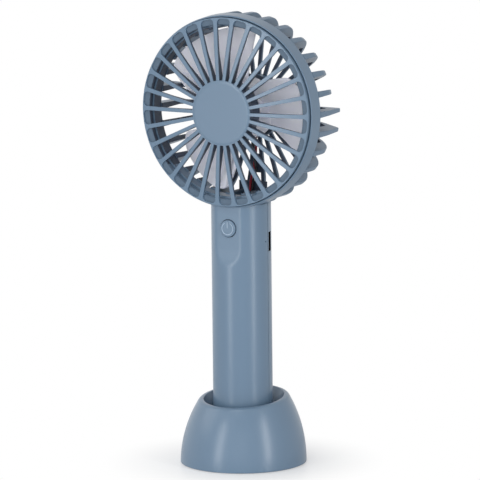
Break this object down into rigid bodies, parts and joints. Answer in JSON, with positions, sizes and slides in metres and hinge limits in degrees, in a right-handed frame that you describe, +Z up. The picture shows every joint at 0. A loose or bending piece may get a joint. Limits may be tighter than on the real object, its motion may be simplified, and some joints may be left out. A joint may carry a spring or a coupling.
{
  "type": "handheld fan",
  "caption": "Battery hand fan with a round spoked head, three-bladed impeller, straight handle with power button and side charging socket, standing in a domed desk base.",
  "frame": {"origin": "centre of the stand's footprint, on the table", "axes": "+Z up, -Y the way the fan blows, +X to the right seen from the front"},
  "size_m": [0.103, 0.0674, 0.2412],
  "materials": {
    "body": "satin blue-grey plastic",
    "button": "satin blue-grey plastic",
    "blades": "smooth pale plastic",
    "pad": "soft matt",
    "steel": "bright",
    "core": "stacked sheets",
    "magnet": "matt",
    "brass": "turned",
    "copper": "enamelled wire",
    "insulator": "plain",
    "board": "lacquered",
    "dark": "plain",
    "lamp": "clear",
    "cell": "plastic sleeve",
    "wire_red": "smooth sleeve",
    "wire_black": "smooth sleeve"
  },
  "bodies": {
    "base": {"base_dome": "body", "base_plate": "body", "base_pad": "pad"},
    "fan": {"front_housing": "body", "rear_housing": "body", "front_grille": "body", "handle_screws": "steel", "bearing_tube": "brass", "sleeve_bearing": "brass", "stator_core": "core", "stator_coils": "copper", "stator_spacer": "insulator", "motor_board": "board", "motor_wire_red": "wire_red", "motor_wire_black": "wire_black", "switch_body": "steel", "circuit_board": "board", "board_parts": "dark", "charge_led": "lamp", "usb_shell": "steel", "usb_tongue": "dark", "battery_cell": "cell", "battery_tabs": "steel", "battery_wire_red": "wire_red", "battery_wire_black": "wire_black"},
    "rotor": {"impeller": "blades", "rotor_yoke": "steel", "magnet_ring": "magnet", "motor_shaft": "steel", "shaft_clip": "steel"},
    "button": {"power_button": "button", "switch_plunger": "dark"}
  },
  "joints": [
    {"name": "lift_off", "type": "slide", "parent": "base", "child": "fan", "axis": [0, 0, 1], "range_m": [0, 0.03]},
    {"name": "impeller_spin", "type": "hinge", "parent": "fan", "child": "rotor", "pos_m": [0, 0, 0.1897], "axis": [0, -1, 0], "continuous": true},
    {"name": "button_press", "type": "slide", "parent": "fan", "child": "button", "axis": [0, 1, 0], "range_m": [0, 0.0005], "stiffness_N_per_m": 2000}
  ]
}
